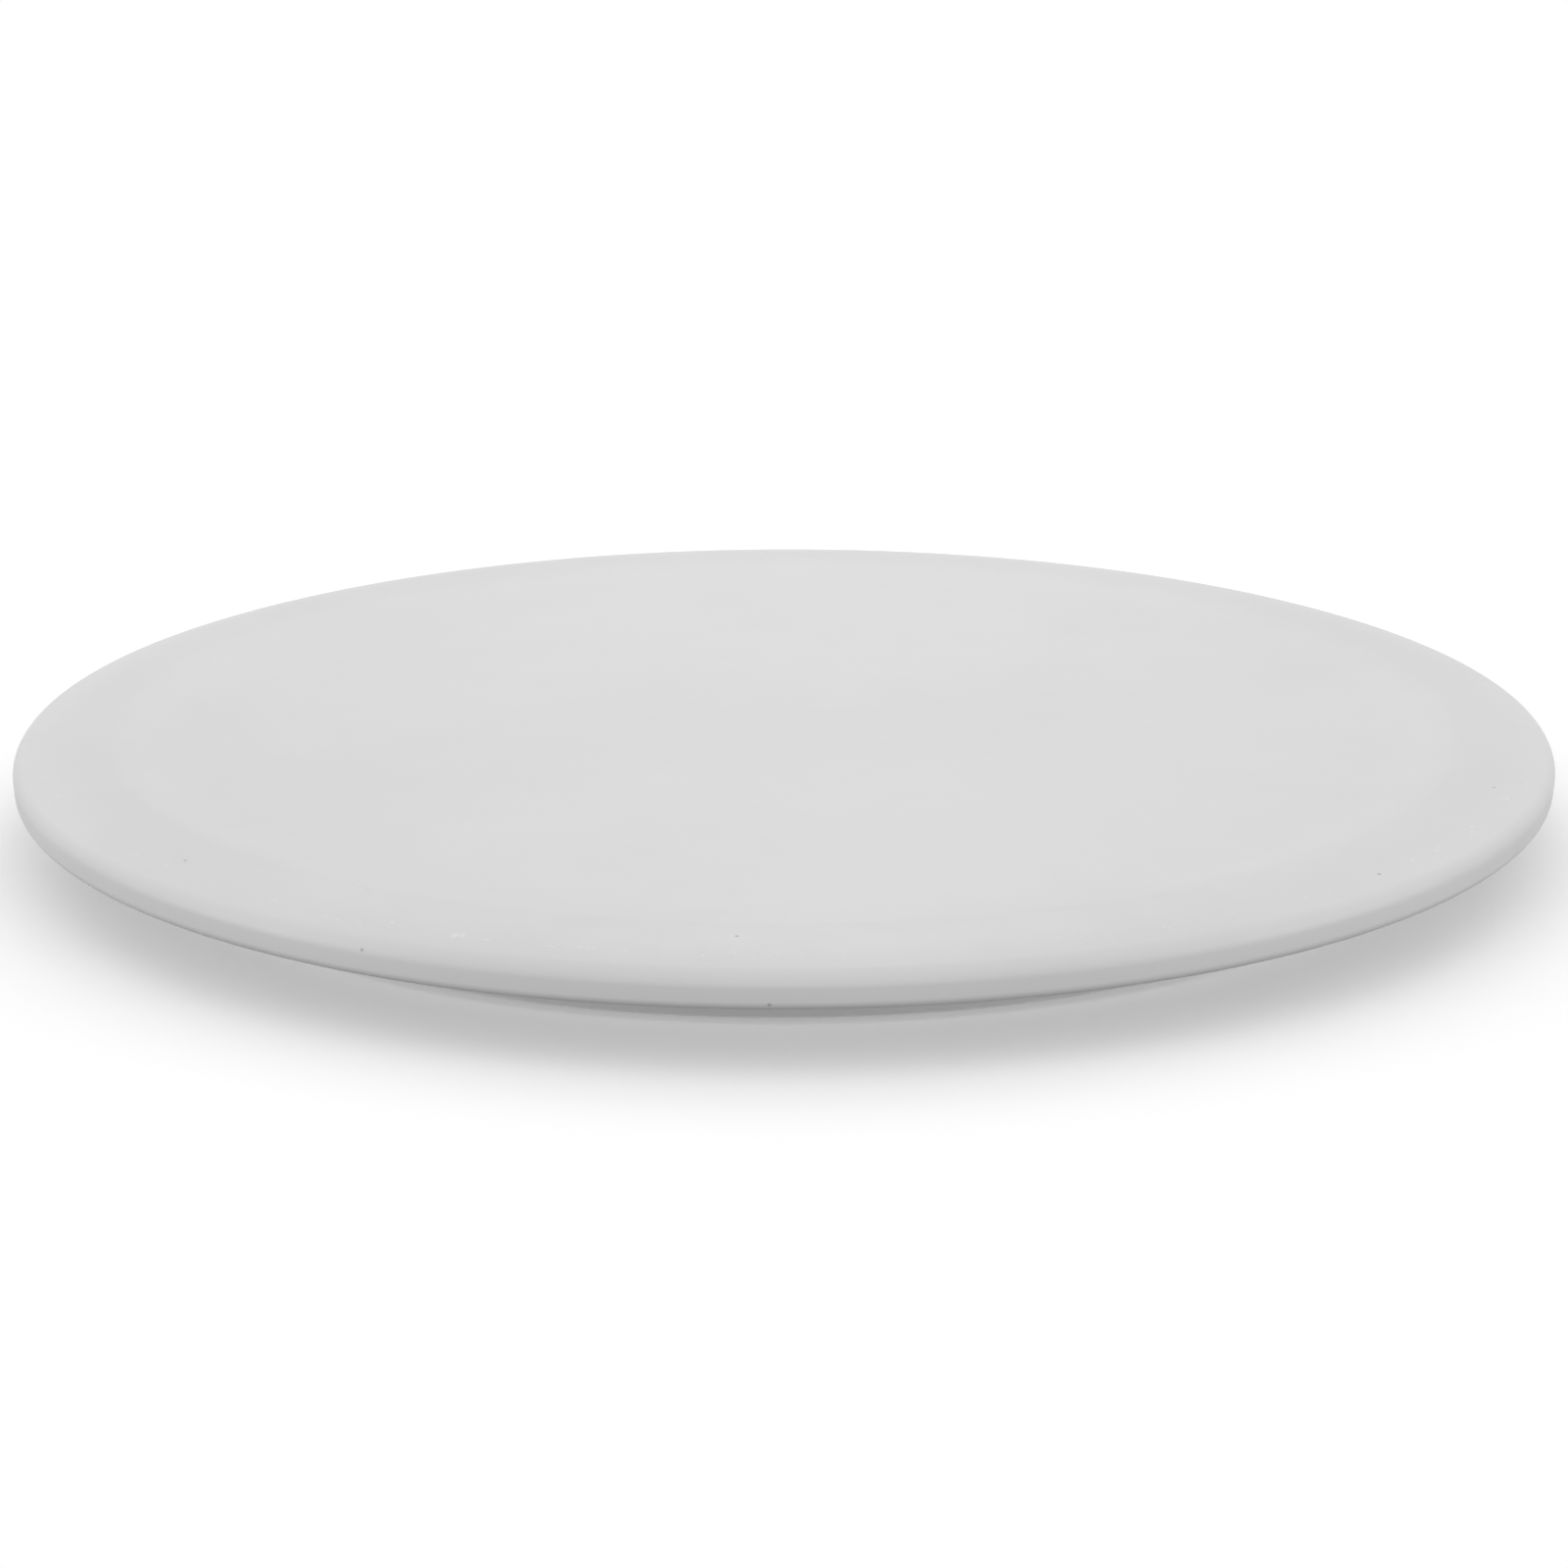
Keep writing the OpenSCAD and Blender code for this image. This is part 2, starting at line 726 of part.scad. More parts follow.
module foot_screws() {
    color("silver") spread(foot_n, foot_circle_r)
        translate([0, 0, foot_washer_z]) mirror([0, 0, 1])
            pan_screw(foot_screw_d - 2 * fit, foot_screw_l, foot_screw_head_d,
                foot_screw_head_h);
}

base_shell();
base_race();
base_race_screws();
hub_bush();
hub_cap();
foot_1();
foot_2();
foot_3();
foot_4();
foot_5();
foot_6();
foot_7();
foot_8();
foot_washers();
foot_screws();
ball_cage();
bearing_balls();
platter_shell();
platter_race();
platter_race_screws();
pivot_insert();
pivot_bolt();
thrust_washer();
disc_spring();
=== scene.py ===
"""Looks of a dining-table turntable: smooth outsides for the platter and the base, rubber
feet, bearing balls, and a finish for every part, on a pale floor under soft light."""

import math

import bmesh
import bpy
from mathutils import Matrix, Vector


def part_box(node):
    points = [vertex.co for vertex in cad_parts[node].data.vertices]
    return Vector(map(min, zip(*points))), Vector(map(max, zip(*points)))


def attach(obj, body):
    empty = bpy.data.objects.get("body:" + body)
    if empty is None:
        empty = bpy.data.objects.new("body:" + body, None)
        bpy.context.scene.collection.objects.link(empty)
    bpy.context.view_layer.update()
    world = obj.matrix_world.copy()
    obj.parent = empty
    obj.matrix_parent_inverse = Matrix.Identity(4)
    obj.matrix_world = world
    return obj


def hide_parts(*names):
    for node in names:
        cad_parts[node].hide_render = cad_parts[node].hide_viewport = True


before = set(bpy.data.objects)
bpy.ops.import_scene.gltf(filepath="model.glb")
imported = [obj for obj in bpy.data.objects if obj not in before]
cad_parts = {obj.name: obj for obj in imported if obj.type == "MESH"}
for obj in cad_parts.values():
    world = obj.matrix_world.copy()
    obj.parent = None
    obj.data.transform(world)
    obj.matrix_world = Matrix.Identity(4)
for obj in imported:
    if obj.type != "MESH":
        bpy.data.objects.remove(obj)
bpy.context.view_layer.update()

bl_info = {
    "name": "Turntable looks",
    "version": (1, 0, 0),
    "blender": (4, 5, 0),
    "location": "View3D > Sidebar > Turntable",
    "description": "Finishes a dining-table turntable and lights it",
    "category": "Object",
}

MM = 0.001
SENSOR_WIDTH = 36
PLATTER_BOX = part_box("platter_shell")
BASE_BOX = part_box("base_shell")
BALLS_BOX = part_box("bearing_balls")
FEET = [f"foot_{number}" for number in range(1, 9)]

# Rings of faces on the flat of the dish, as shares of its radius
DISH_RINGS = (0.02, 0.1, 0.3, 0.5, 0.7, 0.85, 0.95, 1.0)

# Marks of use on the platter: bearing in degrees, then distance from the middle and height
# in millimetres
CHIPS = (
    (-141, 215, 32.4), (-120, 228.3, 26), (-93.5, 209, 33.2), (-91, 228, 20),
    (-41.5, 220.5, 31.2), (-17.5, 215, 32.4),
)
DENTS = ((-125, 202, 33.3), (-121.5, 188.5, 31.6), (-117.5, 175.5, 30.5))

# The floor in metres: half its side, and from where to where it fades out; then its colour
# and its glow as the camera sees them
FLOOR_REACH = 6
FLOOR_FADE = (0.55, 1.3)
FLOOR_SEEN = (0.8, 0.8, 0.8)
FLOOR_GLOW = (0.36, 0.36, 0.36)

# Lamps in metres: name, place, width and height, and the value that holds the power
LAMPS = (
    ("left_lamp", (-2.3, -0.6, 0.3), (1.2, 0.5), "side_power"),
    ("left_rear_lamp", (-1.1, 1.3, 1.2), (0.9, 0.9), "rear_side_power"),
    ("right_lamp", (2.3, -0.6, 0.3), (1.2, 0.5), "side_power"),
    ("right_rear_lamp", (1.1, 1.3, 1.2), (0.9, 0.9), "rear_side_power"),
    ("rear_lamp", (0, 0.55, 0.6), (0.5, 0.5), "rear_power"),
    ("front_lamp", (0, -2.4, 0.25), (1.8, 0.4), "front_power"),
)


# ---- Sizes and colours ----

class TurntableSizes(bpy.types.PropertyGroup):
    """Sizes that the outsides share with the parts under them."""

    platter_radius: bpy.props.FloatProperty(
        name="Platter radius", description="Radius of the platter at its widest line",
        default=PLATTER_BOX[1].x, unit="LENGTH")
    edge_height: bpy.props.FloatProperty(
        name="Edge height", description="From the rim down to the lip",
        default=15 * MM, unit="LENGTH")
    rim_width: bpy.props.FloatProperty(
        name="Rim width", description="From the dish out to the edge",
        default=27 * MM, unit="LENGTH")
    dish_depth: bpy.props.FloatProperty(
        name="Dish depth", description="Depth of the dish below the rim",
        default=3 * MM, unit="LENGTH")
    cove_width: bpy.props.FloatProperty(
        name="Cove width", description="Width of the slope between dish and rim",
        default=30 * MM, unit="LENGTH")
    rim_lip_radius: bpy.props.FloatProperty(
        name="Rim softness", description="Radius that softens the rim's inner edge",
        default=15 * MM, unit="LENGTH")
    crown_radius: bpy.props.FloatProperty(
        name="Crown radius", description="Radius of the soft crown on the rim",
        default=60 * MM, unit="LENGTH")
    crown_slope: bpy.props.FloatProperty(
        name="Crown slope", description="Slope at which the crown meets the corner",
        default=math.radians(20), subtype="ANGLE")
    corner_radius: bpy.props.FloatProperty(
        name="Corner radius", description="Radius between the crown and the skirt",
        default=5 * MM, unit="LENGTH")
    skirt_slope: bpy.props.FloatProperty(
        name="Skirt slope", description="Angle at which the skirt draws in downwards",
        default=math.radians(5), subtype="ANGLE")
    lip_radius: bpy.props.FloatProperty(
        name="Lip radius", description="Radius of the lip's outer edge",
        default=3 * MM, unit="LENGTH")
    skirt_wall: bpy.props.FloatProperty(
        name="Skirt wall", description="Thickness of the skirt at its lip",
        default=2.9 * MM, unit="LENGTH")
    base_radius: bpy.props.FloatProperty(
        name="Base radius", description="Radius of the base at its foot",
        default=BASE_BOX[1].x, unit="LENGTH")
    base_draft: bpy.props.FloatProperty(
        name="Base draft", description="By how much the base wall leans in to its top",
        default=1.2 * MM, unit="LENGTH")
    base_corner: bpy.props.FloatProperty(
        name="Base corner", description="Radius between the base's wall and its top",
        default=4.5 * MM, unit="LENGTH")
    base_top: bpy.props.FloatProperty(
        name="Base top", description="Height of the base's flat top",
        default=15.3 * MM, unit="LENGTH")
    base_apron: bpy.props.FloatProperty(
        name="Base apron", description="Inner radius of the base's bare flat top",
        default=147 * MM, unit="LENGTH")
    base_top_ring: bpy.props.FloatProperty(
        name="Base top ring", description="From the corner in to a ring of faces on the top",
        default=12 * MM, unit="LENGTH")
    base_chamfer: bpy.props.FloatProperty(
        name="Base chamfer", description="Chamfer round the foot of the base's wall",
        default=0.7 * MM, unit="LENGTH")
    chamfer_lean: bpy.props.FloatProperty(
        name="Chamfer lean", description="How far the wall has leant in above the chamfer",
        default=0.05 * MM, unit="LENGTH")
    base_sole: bpy.props.FloatProperty(
        name="Base sole", description="From the base's edge to the inside of its sole",
        default=1.6 * MM, unit="LENGTH")
    skin_proud: bpy.props.FloatProperty(
        name="Skin proud", description="How far an outside stands proud of its solid",
        default=0.18 * MM, unit="LENGTH")
    skin_depth: bpy.props.FloatProperty(
        name="Skin depth", description="Thickness of an outside",
        default=0.9 * MM, unit="LENGTH")
    ball_count: bpy.props.IntProperty(
        name="Balls", description="Number of balls in the bearing", default=32, min=3)
    ball_radius: bpy.props.FloatProperty(
        name="Ball radius", description="Radius of a bearing ball",
        default=(BALLS_BOX[1].z - BALLS_BOX[0].z) / 2, unit="LENGTH")
    foot_taper: bpy.props.FloatProperty(
        name="Foot taper", description="By how much a foot narrows to its bottom",
        default=1.4 * MM, unit="LENGTH")
    foot_top_edge: bpy.props.FloatProperty(
        name="Foot top edge", description="Radius round the top of a foot",
        default=0.3 * MM, unit="LENGTH")
    foot_edge: bpy.props.FloatProperty(
        name="Foot edge", description="Radius round the bottom of a foot",
        default=1 * MM, unit="LENGTH")
    foot_land: bpy.props.FloatProperty(
        name="Foot land", description="From a foot's edge to its grip groove",
        default=0.3 * MM, unit="LENGTH")
    groove_width: bpy.props.FloatProperty(
        name="Groove width", description="Width of a foot's grip groove at its mouth",
        default=0.8 * MM, unit="LENGTH")
    groove_depth: bpy.props.FloatProperty(
        name="Groove depth", description="Depth of a foot's grip groove",
        default=0.35 * MM, unit="LENGTH")
    groove_lean: bpy.props.FloatProperty(
        name="Groove lean", description="By how much each side of the groove leans in",
        default=0.2 * MM, unit="LENGTH")
    recess_radius: bpy.props.FloatProperty(
        name="Recess radius", description="Radius of the recess over a foot's screw",
        default=4.85 * MM, unit="LENGTH")
    recess_depth: bpy.props.FloatProperty(
        name="Recess depth", description="Depth of the recess over a foot's screw",
        default=3 * MM, unit="LENGTH")
    recess_edge: bpy.props.FloatProperty(
        name="Recess edge", description="Radius round the mouth of the recess",
        default=0.2 * MM, unit="LENGTH")
    foot_hole: bpy.props.FloatProperty(
        name="Foot hole", description="Radius of the hole for a foot's screw",
        default=1.85 * MM, unit="LENGTH")
    sharp_angle: bpy.props.FloatProperty(
        name="Sharp angle", description="Angle from which an edge of a foot stays sharp",
        default=math.radians(40), subtype="ANGLE")
    turning: bpy.props.IntProperty(
        name="Steps round", description="Steps in a full turn of the large pieces",
        default=256, min=32)
    foot_turning: bpy.props.IntProperty(
        name="Steps round a foot", description="Steps in a full turn of a foot",
        default=64, min=16)


class TurntableColours(bpy.types.PropertyGroup):
    """Colours of the finishes."""

    shell: bpy.props.FloatVectorProperty(
        name="Shell", description="White of the platter", size=3,
        default=(0.74, 0.74, 0.74), subtype="COLOR", min=0, max=1)
    # Painted light: the base's white is written lighter than the platter's, so its wall, in
    # the platter's shade, reads brighter than the lamps make it.
    base: bpy.props.FloatVectorProperty(
        name="Base", description="Slightly lighter white of the base", size=3,
        default=(0.9, 0.9, 0.9), subtype="COLOR", min=0, max=1)
    rubber: bpy.props.FloatVectorProperty(
        name="Rubber", description="Grey of the feet", size=3,
        default=(0.1, 0.1, 0.105), subtype="COLOR", min=0, max=1)
    zinc: bpy.props.FloatVectorProperty(
        name="Zinc", description="Plated steel of the races and screws", size=3,
        default=(0.6, 0.61, 0.63), subtype="COLOR", min=0, max=1)
    chrome: bpy.props.FloatVectorProperty(
        name="Polished steel", description="Steel of the balls", size=3,
        default=(0.8, 0.8, 0.82), subtype="COLOR", min=0, max=1)
    nylon: bpy.props.FloatVectorProperty(
        name="Nylon", description="Undyed nylon of the cage", size=3,
        default=(0.72, 0.7, 0.62), subtype="COLOR", min=0, max=1)
    acetal: bpy.props.FloatVectorProperty(
        name="Acetal", description="Undyed acetal of the bush", size=3,
        default=(0.78, 0.77, 0.72), subtype="COLOR", min=0, max=1)
    spring: bpy.props.FloatVectorProperty(
        name="Blackened steel", description="Steel of the disc spring", size=3,
        default=(0.22, 0.22, 0.24), subtype="COLOR", min=0, max=1)
    brass: bpy.props.FloatVectorProperty(
        name="Brass", description="Brass of the insert", size=3,
        default=(0.72, 0.56, 0.28), subtype="COLOR", min=0, max=1)
    floor: bpy.props.FloatVectorProperty(
        name="Floor", description="Pale floor, as light falls back from it", size=3,
        default=(0.2, 0.2, 0.2), subtype="COLOR", min=0, max=1)


class TurntableWear(bpy.types.PropertyGroup):
    """Where the platter is rubbed, where its bend carries scuffs with painted highlight
    glints, and how deep its marks are.
    """

    rubbed_radius: bpy.props.FloatProperty(
        name="Rubbed radius", description="Within this radius the platter is rubbed smoother",
        default=200 * MM, unit="LENGTH")
    rubbed_fade: bpy.props.FloatProperty(
        name="Rubbed fade", description="Width over which the rubbed surface ends",
        default=12 * MM, unit="LENGTH")
    # The scuffed bend also carries painted highlight glints, painted lighter in colour.
    scuff_glint_radius: bpy.props.FloatProperty(
        name="Scuffed radius", description="Radius of the bend that is scuffed",
        default=220 * MM, unit="LENGTH")
    scuff_glint_width: bpy.props.FloatProperty(
        name="Scuffed width", description="Width of the bend that is scuffed in full",
        default=1 * MM, unit="LENGTH")
    scuff_glint_fade: bpy.props.FloatProperty(
        name="Scuffed fade", description="Width over which the scuffs end on each side",
        default=3 * MM, unit="LENGTH")
    scuff_depth: bpy.props.FloatProperty(
        name="Scuff depth", description="Height of the scuffs on the bend",
        default=0.1 * MM, unit="LENGTH")
    chip_radius: bpy.props.FloatProperty(
        name="Chip radius", description="Radius of a chip",
        default=0.75 * MM, unit="LENGTH")
    chip_depth: bpy.props.FloatProperty(
        name="Chip depth", description="Depth of a chip",
        default=0.15 * MM, unit="LENGTH")
    dent_radius: bpy.props.FloatProperty(
        name="Dent radius", description="Radius of a dent",
        default=2 * MM, unit="LENGTH")
    dent_depth: bpy.props.FloatProperty(
        name="Dent depth", description="Depth of a dent",
        default=0.12 * MM, unit="LENGTH")


class TurntableStage(bpy.types.PropertyGroup):
    """Where the camera stands and how strong the lamps are."""

    camera_lift: bpy.props.FloatProperty(
        name="Camera lift", description="Angle of the camera above the rim's plane",
        default=math.radians(15.74), subtype="ANGLE")
    camera_distance: bpy.props.FloatProperty(
        name="Camera distance", description="From the middle of the rim's plane",
        default=2.0565, unit="LENGTH")
    camera_lens: bpy.props.FloatProperty(
        name="Lens", description="Focal length on a 36 mm sensor",
        default=158.5, unit="CAMERA")
    camera_drop: bpy.props.FloatProperty(
        name="Camera drop", description="Angle by which the camera aims below the rim",
        default=math.radians(0.4845), subtype="ANGLE")
    camera_roll: bpy.props.FloatProperty(
        name="Camera roll", description="Angle by which the camera is tipped sideways",
        default=math.radians(-0.1), subtype="ANGLE")
    side_power: bpy.props.FloatProperty(
        name="Side lamps", description="Power of each lamp beside the platter",
        default=9.8, unit="POWER")
    rear_side_power: bpy.props.FloatProperty(
        name="Rear side lamps", description="Power of each lamp beside and behind",
        default=1.6, unit="POWER")
    rear_power: bpy.props.FloatProperty(
        name="Rear lamp", description="Power of the lamp behind the platter",
        default=0.75, unit="POWER")
    front_power: bpy.props.FloatProperty(
        name="Front lamp", description="Power of the low lamp in front",
        default=7.4, unit="POWER")
    room_level: bpy.props.FloatProperty(
        name="Room light", description="Strength of the even light from all round",
        default=0.685, min=0)


# ---- Finishes ----

class Sock:
    """A shader socket, so that a sum on it adds Math nodes."""

    def __init__(self, nodes, socket):
        self.nodes = nodes
        self.socket = socket

    def output(self, name):
        """Another output of the same node"""
        return Sock(self.nodes, self.socket.node.outputs[name])

    def math(self, operation, *values):
        settings = {"operation": operation}
        return self.nodes.add("ShaderNodeMath", settings, dict(enumerate(values)))

    def __add__(self, other):
        return self.math("ADD", self, other)

    __radd__ = __add__

    def __sub__(self, other):
        return self.math("SUBTRACT", self, other)

    def __rsub__(self, other):
        return self.math("SUBTRACT", other, self)

    def __mul__(self, other):
        return self.math("MULTIPLY", self, other)

    __rmul__ = __mul__

    def __or__(self, other):
        return self.math("MAXIMUM", self, other)


class Nodes:
    """The node tree of a material or of the world while it is put together."""

    def __init__(self, owner):
        owner.use_nodes = True
        self.tree = owner.node_tree
        self.tree.nodes.clear()

    def add(self, kind, settings=None, inputs=None, output=0):
        """Adds a node, sets it, links or sets its inputs and returns one of its outputs"""
        node = self.tree.nodes.new(kind)
        for name, value in (settings or {}).items():
            setattr(node, name, value)
        for key, value in (inputs or {}).items():
            if isinstance(value, Sock):
                self.tree.links.new(value.socket, node.inputs[key])
            else:
                node.inputs[key].default_value = value
        return Sock(self, node.outputs[output]) if node.outputs else None

    def seen(self):
        """1 for what the camera, gloss and glass see, 0 for what light falls from"""
        ray = self.add("ShaderNodeLightPath", output="Is Camera Ray")
        return ray | ray.output("Is Glossy Ray") | ray.output("Is Transmission Ray")


class Finish(Nodes):
    """A material's nodes. Patterns read Object coordinates."""

    def __init__(self, name):
        self.material = bpy.data.materials.new(name)
        super().__init__(self.material)
        self.place = self.add("ShaderNodeTexCoord", output="Object")

    def noise(self, scale, detail=2.0, roughness=0.5, stretch=None):
        """Soft cloudy pattern of about so many clouds to the metre"""
        place = self.place
        if stretch:
            place = self.add("ShaderNodeMapping", inputs={"Vector": place, "Scale": stretch})
        return self.add("ShaderNodeTexNoise", inputs={
            "Vector": place, "Scale": scale, "Detail": detail, "Roughness": roughness})

    def spread(self, value, low, high, to_low=0.0, to_high=1.0):
        """Maps what lies between low and high smoothly to between to_low and to_high"""
        return self.add("ShaderNodeMapRange", {"interpolation_type": "SMOOTHSTEP"}, {
            "Value": value, "From Min": low, "From Max": high,
            "To Min": to_low, "To Max": to_high})

    def blend(self, factor, colour_a, colour_b):
        """The first colour where the factor is 0, the second where it is 1"""
        values = [c if isinstance(c, Sock) else (*c, 1.0) for c in (colour_a, colour_b)]
        return self.add("ShaderNodeMix", {"data_type": "RGBA"},
                        {0: factor, 6: values[0], 7: values[1]}, output=2)

    def radius(self):
        """Distance from the turntable's axis"""
        flat = self.add("ShaderNodeVectorMath", {"operation": "MULTIPLY"},
                        {0: self.place, 1: (1, 1, 0)})
        return self.add("ShaderNodeVectorMath", {"operation": "LENGTH"}, {0: flat},
                        output="Value")

    def distance(self, point):
        """Distance from a point"""
        return self.add("ShaderNodeVectorMath", {"operation": "DISTANCE"},
                        {0: self.place, 1: point}, output="Value")

    def spots(self, places, radius):
        """1 on a soft round spot at each place, 0 elsewhere"""
        spots = [self.spread(self.distance(place), 0.4 * radius, radius, 1, 0)
                 for place in places]
        mask = spots[0]
        for spot in spots[1:]:
            mask = mask | spot
        return mask

    def bump(self, height, depth, normal=None):
        """A normal tilted by a height pattern, on top of the normal given"""
        inputs = {"Height": height, "Distance": depth, "Strength": 1.0}
        if normal:
            inputs["Normal"] = normal
        return self.add("ShaderNodeBump", inputs=inputs)

    def close(self, **inputs):
        """Sets the shader's inputs and returns the finished material"""
        sockets = {name.replace("_", " "): value for name, value in inputs.items()}
        shader = self.add("ShaderNodeBsdfPrincipled", inputs=sockets)
        self.add("ShaderNodeOutputMaterial", inputs={"Surface": shader})
        return self.material


def shade(colour, factor):
    """The colour made lighter or darker"""
    return tuple(min(1.0, channel * factor) for channel in colour)


def on_platter(mark):
    """The place of a mark in metres"""
    bearing, radius, height = math.radians(mark[0]), mark[1] * MM, mark[2] * MM
    return (radius * math.cos(bearing), radius * math.sin(bearing), height)


def moulded_shell(name, colour, wear=None):
    """Satin white plastic from a finely eroded mould, with marks of use if wear is given; the
    wear includes a painted highlight of glints on the rim's bend.
    """
    finish = Finish(name)
    cloud = finish.noise(9, detail=3)
    tone = finish.blend(finish.spread(cloud, 0.35, 0.65), shade(colour, 0.985),
                        shade(colour, 1.01))
    smears = finish.noise(55, detail=4, roughness=0.62)
    roughness = finish.spread(smears, 0.35, 0.7, 0, 0.06) + 0.46
    normal = finish.bump(finish.noise(2400, roughness=0.6), depth=0.012 * MM)
    normal = finish.bump(finish.noise(16, detail=1), 0.12 * MM, normal)
    if wear:
        rubbed = finish.spread(
            finish.radius(), wear.rubbed_radius - wear.rubbed_fade, wear.rubbed_radius, 1, 0)
        roughness = roughness - 0.12 * rubbed
        tone, normal = scuff_and_glint_bend(finish, colour, wear, tone, normal)
        dents = [on_platter(mark) for mark in DENTS]
        dented = finish.spots(dents, wear.dent_radius)
        normal = finish.bump(1 - dented, wear.dent_depth, normal)
        chips = [on_platter(mark) for mark in CHIPS]
        chipped = finish.spots(chips, wear.chip_radius)
        # Each chip is painted darker, at 0.68 of the white round it.
        tone = finish.blend(chipped, tone, shade(colour, 0.68))
        normal = finish.bump(1 - chipped, wear.chip_depth, normal)
    return finish.close(Base_Color=tone, Roughness=roughness, Normal=normal, IOR=1.47)


def scuff_and_glint_bend(finish, colour, wear, tone, normal):
    """A few scuffs round the bend from the rim to the skirt: bumped, and painted lighter as a
    painted highlight of glints.
    """
    inner, outer = wear.scuff_glint_radius, wear.scuff_glint_radius + wear.scuff_glint_width
    bend = finish.spread(finish.radius(), inner - wear.scuff_glint_fade, inner)
    past = finish.spread(finish.radius(), outer, outer + wear.scuff_glint_fade)
    flecks = finish.spread(finish.noise(300, detail=3, roughness=0.6), 0.58, 0.72)
    scuffs_and_glints = bend * (1 - past) * flecks
    # Painted highlight: the scuff flecks are painted lighter, as glints on the bend.
    tone = finish.blend(scuffs_and_glints, tone, shade(colour, 1.08))
    return tone, finish.bump(scuffs_and_glints, wear.scuff_depth, normal)


def plated(name, colour, rough=0.3):
    """Plated steel with a cloudy, slightly crystalline skin."""
    finish = Finish(name)
    crystals = finish.add("ShaderNodeTexVoronoi", {"feature": "F1"},
                          {"Vector": finish.place, "Scale": 420}, output="Color")
    value = finish.add("ShaderNodeSeparateColor", inputs={0: crystals}, output="Red")
    cloud = value * 0.5 + finish.noise(60, detail=3) * 0.5
    tone = finish.blend(cloud, shade(colour, 0.86), shade(colour, 1.12))
    roughness = finish.spread(finish.noise(170, detail=3), 0.3, 0.7, rough, rough + 0.14)
    normal = finish.bump(finish.noise(900), depth=0.008 * MM)
    return finish.close(Base_Color=tone, Roughness=roughness, Normal=normal, Metallic=1.0)


def polished(name, colour):
    """Polished steel with a thin film of oil."""
    finish = Finish(name)
    film = finish.noise(240, detail=3)
    tone = finish.blend(film, shade(colour, 0.93), shade(colour, 1.05))
    roughness = finish.spread(film, 0.35, 0.7, 0.07, 0.15)
    return finish.close(Base_Color=tone, Roughness=roughness, Metallic=1.0)


def turned_brass(name, colour):
    """Brass with the fine rings of the lathe."""
    finish = Finish(name)
    rings = finish.noise(700, stretch=(0.1, 0.1, 6))
    tone = finish.blend(rings, shade(colour, 0.88), shade(colour, 1.08))
    roughness = finish.spread(rings, 0.3, 0.7, 0.22, 0.36)
    normal = finish.bump(rings, depth=0.01 * MM)
    return finish.close(Base_Color=tone, Roughness=roughness, Normal=normal, Metallic=1.0)


def plain_moulded(name, colour, rough=0.38):
    """Undyed engineering plastic, slightly uneven in tone."""
    finish = Finish(name)
    cloud = finish.noise(120, detail=3)
    tone = finish.blend(cloud, shade(colour, 0.94), shade(colour, 1.04))
    normal = finish.bump(finish.noise(1500), depth=0.01 * MM)
    roughness = finish.spread(finish.noise(300), 0.3, 0.7, rough - 0.05, rough + 0.08)
    return finish.close(Base_Color=tone, Roughness=roughness, Normal=normal, IOR=1.5)


def rubber(name, colour):
    """Dull rubber with a pale bloom."""
    finish = Finish(name)
    bloom = finish.noise(90, detail=4, roughness=0.6)
    tone = finish.blend(finish.spread(bloom, 0.4, 0.75), colour, shade(colour, 1.5))
    roughness = finish.spread(bloom, 0.3, 0.7, 0.62, 0.8)
    normal = finish.bump(finish.noise(1300, detail=3), depth=0.02 * MM)
    return finish.close(Base_Color=tone, Roughness=roughness, Normal=normal, IOR=1.52)


# ---- Shapes ----

class Pen:
    """Draws a section in the XZ plane: straight strokes, and arcs about a centre."""

    def __init__(self, mesh, radius, height):
        self.mesh = mesh
        self.tip = mesh.verts.new((radius, 0, height))

    def line(self, radius, height):
        """A straight stroke to the point given"""
        made = bmesh.ops.extrude_vert_indiv(self.mesh, verts=[self.tip])
        self.tip = made["verts"][0]
        self.tip.co = (radius, 0, height)

    def arc(self, centre, angle, steps):
        """A round stroke from the tip about the centre"""
        made = bmesh.ops.spin(
            self.mesh, geom=[self.tip], cent=(centre[0], 0, centre[1]), axis=(0, -1, 0),
            angle=angle, steps=steps)
        self.tip = [v for v in made["geom_last"] if isinstance(v, bmesh.types.BMVert)][0]


def turn(mesh, steps):
    """Spins the drawn section into a full ring about Z."""
    bmesh.ops.spin(mesh, geom=mesh.verts[:] + mesh.edges[:], cent=(0, 0, 0), axis=(0, 0, 1),
                   angle=2 * math.pi, steps=steps, use_merge=True)
    bmesh.ops.remove_doubles(mesh, verts=mesh.verts, dist=1e-6)


def point_outwards(mesh):
    """Turns all faces outwards"""
    bmesh.ops.recalc_face_normals(mesh, faces=mesh.faces)


def skin(mesh, s):
    """Gives an open outside its thickness and moves it proud of the solid under it"""
    for vert in mesh.verts:
        vert.co += vert.normal * s.skin_proud
    bmesh.ops.solidify(mesh, geom=mesh.faces[:], thickness=s.skin_depth)
    point_outwards(mesh)


def make_piece(name, mesh, material, body):
    """Makes the drawn mesh an object that rides on a body"""
    data = bpy.data.meshes.new(name)
    mesh.to_mesh(data)
    mesh.free()
    data.materials.append(material)
    data.shade_smooth()
    piece = bpy.data.objects.new(name, data)
    bpy.context.scene.collection.objects.link(piece)
    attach(piece, body)
    return piece


def dress(node, material):
    """Gives a part of the frame its finish"""
    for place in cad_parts[node].material_slots:
        place.material = material


# ---- Operators ----

